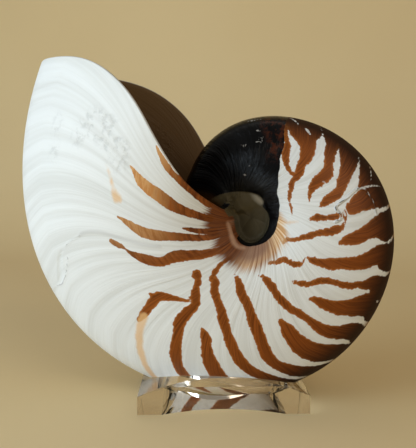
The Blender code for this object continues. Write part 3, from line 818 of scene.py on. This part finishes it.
def film_layer(seen, skin):
    """The black film by the mouth, worn to brown behind its front edge, with a few painted glints of light
    on it.
    """
    worn = seen.ages.step(-307.0, -299.0) * seen.place.step(0.52, 0.42)
    thin = worn * seen.blotch.step(-0.06, 0.16)
    black = mixed(seen.wisps, "#040405", "#090a0d")
    black = mixed(thin * 0.8, black, "#47200f")
    # The glint lines are painted highlights on the glossy film
    black = mixed(seen.rough("glint", 4.0).step(0.0, -0.4, 0.55), black, "#b9b6b2")
    return mixed(seen.film, skin, black)


def callus_layer(seen, skin):
    """The callus, painted grey olive: partly its own colour and partly painted shade of the pit it lies in;
    its disc, its tongue, and a painted highlight on the ridge at the tongue's end.
    """
    clouded = seen.cloud.step(-0.2, 0.2)
    # Dark grey olive, partly painted shade of the pit over the callus's paler colour
    callus_in_painted_light = mixed(clouded, "#474131", "#544d3d")
    callus_in_painted_light = mixed(seen.mark("tongue").step(0.8, -1.2), callus_in_painted_light, mixed(clouded, "#4c442f", "#5a5039"))
    callus_in_painted_light = mixed(seen.mark("ridge").step(0.9, -0.7, 0.6), callus_in_painted_light, "#b3aea0")
    return mixed(seen.rough("pad", 0.3).step(0.25, -0.25), skin, callus_in_painted_light)


def chamber_layer(seen, skin):
    """The pearly lining of the living chamber, painted dark brown: partly its own colour and partly painted
    shade inside the chamber, lighter by the lip, where less painted shade is laid on.
    """
    pearl_in_painted_shade = mixed(seen.ages.step(-40.0, 0.0), "#3a2207", "#5f4629")
    pearl_in_painted_shade = mixed(seen.rays.step(-0.1, 0.2, 0.35), pearl_in_painted_shade, "#553c1f")
    return mixed(seen.mark("inside"), skin, pearl_in_painted_shade)


def damage_layer(seen, skin):
    """The crack and the seam low on the white flank, the healed break across the bands, and a dark nick."""
    skin = mixed(seen.rough("chip", 0.4).step(0.30, 0.05, 0.4), skin, "#75717a")
    skin = mixed(seen.mark("seam").step(1.2, 0.0, 0.16), skin, "#6f6c70")
    skin = mixed(seen.rough("scar", 0.5).step(0.28, 0.1, 0.85), skin, "#4a4640")
    return mixed(seen.mark("tick").step(0.1, -0.1), skin, "#15110d")


# Each dent as its mark, the distances in mm where it starts and is full, and its height in mm
DENTS = (("scar", 0.8, 0.0, -0.6), ("chip", 1.0, 0.0, -0.10), ("seam", 1.6, 0.0, -0.08),
         ("lens", 0.5, -1.4, 0.32))


def shell_relief(seen):
    """Height in mm, as a bump: growth lines, rays in the film, the scuffs and the dents."""
    height = seen.fine_lines * 0.10 + seen.broad_lines * 0.18 + seen.film * seen.rays * 0.40
    for name, start, full, depth in DENTS:
        height = height + seen.mark(name).step(start, full, depth)
    height = height - seen.scuff * 0.10
    return add_node(seen.tree, "Bump", {"Height": height, "Strength": 1.0, "Distance": MM}).outputs["Normal"]


def shell_finish():
    """Porcelain white under rust brown bands, a black film by the mouth, a pearly chamber lining painted
    dark brown and a grey olive callus, both partly painted shade; satin all over but for the glossy film,
    with growth lines in low relief."""
    made, tree, shader = finish_named("nautilus shell")
    seen = ShellPatterns(tree)
    skin = band_layer(seen, white_layer(seen))
    for layer in (zone_layer, film_layer, callus_layer, chamber_layer, damage_layer):
        skin = layer(seen, skin)
    glossy = seen.fine_lines * 0.4 + 0.15
    satin = seen.belly * 0.25 + 0.42
    matt = satin + seen.film * (glossy - satin)
    tree.links.new(skin.socket, shader.inputs["Base Color"])
    tree.links.new(matt.socket, shader.inputs["Roughness"])
    tree.links.new(shell_relief(seen), shader.inputs["Normal"])
    shader.inputs["Specular IOR Level"].default_value = 0.16
    return made


shell.data.materials.append(shell_finish())


# The stand: a block of clear cast acrylic with a crowned top, bevelled along its front and back and
# flame polished. A seat is milled into its top to the shell's own curve and a shallow dome into its
# underside, and the two meet in an oval hole under the keel. The shell only rests in it.
STAND_PLACE, STAND_TURN = (8.6, 0.3), 13.4
HALF_WIDTH, HALF_DEPTH, CROWN, END_HEIGHT, CROWN_CURVE = 31.3, 21.6, 12.6, 6.6, 2.5
BEVEL_HEIGHT, POLISHED_EDGE, SEAT_GAP = 10.2, 0.25, 0.3
HOLLOW_HALF_WIDTH, HOLLOW_EDGE, HOLLOW_RISE, HOLLOW_REACH = 22.5, 2.0, 5.2, 25.4
KEEL_HOLE, HOLE_SIDES = (19.0, 14.0), 96
SEAT_AGES, SEAT_PLACE = (-180, -66), 0.6
EDGE_ANGLE, SMOOTH_ANGLE = 25, 28


def solid_grid(name, top, bottom):
    """A closed block between two grids of points with the same rows and columns."""
    rows, columns = top.shape[:2]
    count = rows * columns
    number = np.arange(count).reshape(rows, columns)
    rim = np.r_[number[0, :-1], number[:-1, -1], number[-1, :0:-1], number[:0:-1, 0]]
    after = np.roll(rim, -1)
    sides = np.stack([rim, after, after + count, rim + count], -1)
    quads = np.vstack([grid_quads(rows, columns)[:, ::-1], grid_quads(rows, columns, count), sides])
    return make_piece(name, np.vstack([top.reshape(-1, 3), bottom.reshape(-1, 3)]) * MM, quads)


def block_solid():
    """The block before it is cut: a top that falls from the crown by a power of the distance to its ends."""
    along, over = np.meshgrid(np.linspace(-HALF_WIDTH, HALF_WIDTH, 81), (-HALF_DEPTH, HALF_DEPTH))
    top = CROWN - (CROWN - END_HEIGHT) * np.abs(along / HALF_WIDTH) ** CROWN_CURVE
    table = np.stack([along, over, 0 * top], -1)
    return solid_grid("acrylic_stand", np.stack([along, over, top], -1), table)


def hollow_solid():
    """The dome milled under the block: an arch along it times a crown across it."""
    along, over = np.meshgrid(np.linspace(-HOLLOW_HALF_WIDTH, HOLLOW_HALF_WIDTH, 61),
                              np.linspace(-HOLLOW_REACH, HOLLOW_REACH, 61))
    share = along / HOLLOW_HALF_WIDTH
    top = HOLLOW_EDGE * (1 - share ** 2) + HOLLOW_RISE * (1 - share ** 8) * (1 - (over / HALF_DEPTH) ** 2)
    return solid_grid("hollow", np.stack([along, over, top], -1), np.stack([along, over, 0 * top - 4], -1))


def bevel_solid(side):
    """A box whose face lies on the 45 degree bevel at the front or back edge."""
    along, out = np.meshgrid((-HALF_WIDTH - 5, HALF_WIDTH + 5), (0.0, 20.0))
    y, z = side * (HALF_DEPTH + 10 - out), BEVEL_HEIGHT - 10 + out
    return solid_grid("bevel", np.stack([along, y + side * 20, z + 20], -1), np.stack([along, y, z], -1))


def seat_solid():
    """What the shell's keel takes out of the block: the shell's outer surface, a gap wider, up to a lid."""
    steps = np.linspace(*SEAT_AGES, 115), np.linspace(-SEAT_PLACE, SEAT_PLACE, 81)
    ages, places = np.meshgrid(*steps, indexing="ij")
    points = upright(*whorl(ages, places)) + SEAT_GAP * whorl_normal(ages, places) + AXIS
    lid = points * (1, 1, 0) + (0, 0, 60.0)
    turn = math.radians(-STAND_TURN)
    shift = np.array((*STAND_PLACE, 0.0))
    swing = np.array(((math.cos(turn), -math.sin(turn), 0), (math.sin(turn), math.cos(turn), 0), (0, 0, 1)))
    return solid_grid("seat", (points - shift) @ swing.T, (lid - shift) @ swing.T)


def keel_hole_solid():
    """An oval post through the block, where the keel comes down."""
    turn = np.linspace(0, 2 * math.pi, HOLE_SIDES + 1)[:-1]
    ring = np.stack([KEEL_HOLE[0] * np.cos(turn), KEEL_HOLE[1] * np.sin(turn), 0 * turn], -1)
    after = np.roll(np.arange(HOLE_SIDES), -1).tolist()
    caps = [tuple(range(HOLE_SIDES - 1, -1, -1)), tuple(range(HOLE_SIDES, 2 * HOLE_SIDES))]
    sides = [(i, after[i], after[i] + HOLE_SIDES, i + HOLE_SIDES) for i in range(HOLE_SIDES)]
    mesh = bpy.data.meshes.new("keel hole")
    corners = np.vstack([ring - (0, 0, 5), ring + (0, 0, 30)]) * MM
    mesh.from_pydata(corners.tolist(), [], caps + sides)
    made = bpy.data.objects.new("keel hole", mesh)
    bpy.context.scene.collection.objects.link(made)
    return made


def settle(piece):
    """Works the piece's modifiers into its mesh."""
    graph = bpy.context.evaluated_depsgraph_get()
    mesh = bpy.data.meshes.new_from_object(piece.evaluated_get(graph))
    piece.modifiers.clear()
    piece.data = mesh


def cut_away(piece, cutter):
    """Takes the cutter's solid out of the piece, and the cutter out of the scene."""
    for solid in (piece, cutter):
        work = bmesh.new()
        work.from_mesh(solid.data)
        bmesh.ops.remove_doubles(work, verts=work.verts, dist=1e-7)
        bmesh.ops.recalc_face_normals(work, faces=work.faces)
        work.to_mesh(solid.data)
        work.free()
    milling = piece.modifiers.new("cut", "BOOLEAN")
    milling.operation, milling.solver, milling.object = "DIFFERENCE", "EXACT", cutter
    settle(piece)
    bpy.data.objects.remove(cutter)


stand = block_solid()
for side in (-1, 1):
    cut_away(stand, bevel_solid(side))
edges = stand.modifiers.new("polished edges", "BEVEL")
edges.width, edges.segments = POLISHED_EDGE * MM, 2
edges.limit_method, edges.angle_limit = "ANGLE", math.radians(EDGE_ANGLE)
settle(stand)
for cutter in (seat_solid(), hollow_solid(), keel_hole_solid()):
    cut_away(stand, cutter)

# The two 45 degree bevels keep a satin face, and the rest is polished clear
normals = np.zeros(3 * len(stand.data.polygons))
stand.data.polygons.foreach_get("normal", normals)
normals = normals.reshape(-1, 3)
bevelled = np.abs(np.abs(normals) - (0, math.sqrt(0.5), math.sqrt(0.5))).max(1) < 0.02
sawn = stand.data.attributes.new("sawn", "FLOAT", "FACE")
sawn.data.foreach_set("value", (bevelled & (normals[:, 2] > 0)).astype(np.float32))
shifted = Matrix.Translation((STAND_PLACE[0] * MM, STAND_PLACE[1] * MM, 0))
stand.data.transform(shifted @ Matrix.Rotation(math.radians(STAND_TURN), 4, "Z"))
stand.data.shade_smooth()
stand.data.set_sharp_from_angle(angle=math.radians(SMOOTH_ANGLE))


def acrylic_finish():
    """Clear, faintly warm acrylic with very fine polishing ripples."""
    made, tree, shader = finish_named("clear acrylic")
    body = add_node(tree, "TexCoord").outputs["Object"]
    ripples = grain(tree, body, 90.0)
    dullness = mark_of(tree, "sawn") * 0.22 + 0.02
    relief = add_node(tree, "Bump", {"Height": ripples, "Strength": 0.15, "Distance": 0.0005})
    tree.links.new(relief.outputs["Normal"], shader.inputs["Normal"])
    shader.inputs["Base Color"].default_value = colour("#dbd1c5")
    tree.links.new(dullness.socket, shader.inputs["Roughness"])
    shader.inputs["Transmission Weight"].default_value = 1.0
    shader.inputs["IOR"].default_value = 1.49
    return made


stand.data.materials.clear()
stand.data.materials.append(acrylic_finish())
stand.visible_shadow = False
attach(stand, "root")
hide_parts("stand")
